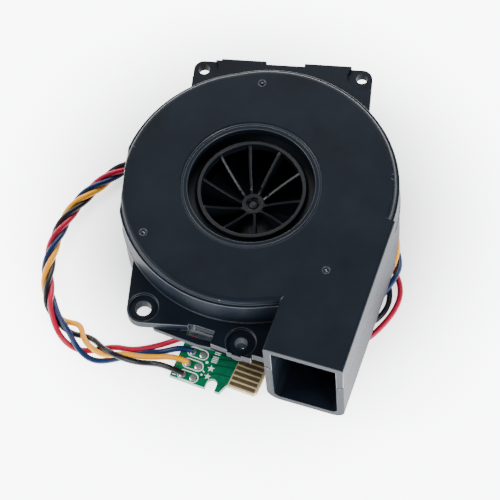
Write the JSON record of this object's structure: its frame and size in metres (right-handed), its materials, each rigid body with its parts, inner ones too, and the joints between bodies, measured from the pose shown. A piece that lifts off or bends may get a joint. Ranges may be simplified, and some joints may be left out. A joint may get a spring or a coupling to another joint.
{
  "type": "centrifugal blower",
  "caption": "Small plastic centrifugal blower: scroll housing with ear plate and square outlet, bladed wheel on an outer-rotor motor, and twisted leads to an edge-contact card.",
  "frame": {"origin": "on the wheel's axis, at the outer face of the motor cup's bottom plate, which is the surface the blower stands on", "axes": "+Z along the wheel's axis, out of the inlet; -Y out of the outlet; +X towards the outlet's outer wall"},
  "size_m": [0.1044, 0.1026, 0.036],
  "materials": {
    "housing_plastic": "fine moulded texture",
    "wheel_plastic": "moulded satin",
    "rotor_steel": "drawn, bright",
    "magnet": "bonded, matt",
    "shaft_steel": "ground",
    "brass": "turned",
    "bearing_steel": "polished",
    "lamination": "stacked sheet",
    "insulator": "moulded",
    "copper": "enamelled wire",
    "board": "solder mask",
    "chip": "moulded",
    "plate_steel": "plated sheet",
    "screw_steel": "plated",
    "clamp_rubber": "matt",
    "tinned_wire": "solder",
    "lead_black": "soft insulation",
    "lead_blue": "soft insulation",
    "lead_yellow": "soft insulation",
    "lead_red": "soft insulation",
    "lead_bundle": "soft insulation",
    "gold": "plated",
    "print": "printed ink"
  },
  "bodies": {
    "blower": {"base_housing": "housing_plastic", "top_cover": "housing_plastic", "bearing_tube": "brass", "upper_outer_race": "bearing_steel", "upper_balls": "bearing_steel", "lower_outer_race": "bearing_steel", "lower_balls": "bearing_steel", "stator_core": "lamination", "stator_insulators": "insulator", "stator_coils": "copper", "winding_pins": "brass", "driver_board": "board", "board_parts": "chip", "hall_sensor": "chip", "board_spacers": "brass", "bottom_plate": "plate_steel", "plate_screws": "screw_steel", "lead_clamp": "clamp_rubber", "lead_tails": "tinned_wire", "lead_black": "lead_black", "lead_blue": "lead_blue", "lead_yellow": "lead_yellow", "lead_red": "lead_red", "lead_bundle": "lead_bundle", "connector_card": "board", "contact_fingers": "gold", "solder_joints": "tinned_wire", "card_print": "print"},
    "rotor": {"wheel": "wheel_plastic", "wheel_shroud": "wheel_plastic", "rotor_cup": "rotor_steel", "rotor_magnet": "magnet", "rotor_bush": "brass", "motor_shaft": "shaft_steel", "shaft_clip": "screw_steel", "preload_washer": "screw_steel", "upper_inner_race": "bearing_steel", "lower_inner_race": "bearing_steel"}
  },
  "joints": [
    {"name": "rotor_spin", "type": "hinge", "parent": "blower", "child": "rotor", "pos_m": [0, 0, 0.012], "axis": [0, 0, 1], "continuous": true}
  ]
}
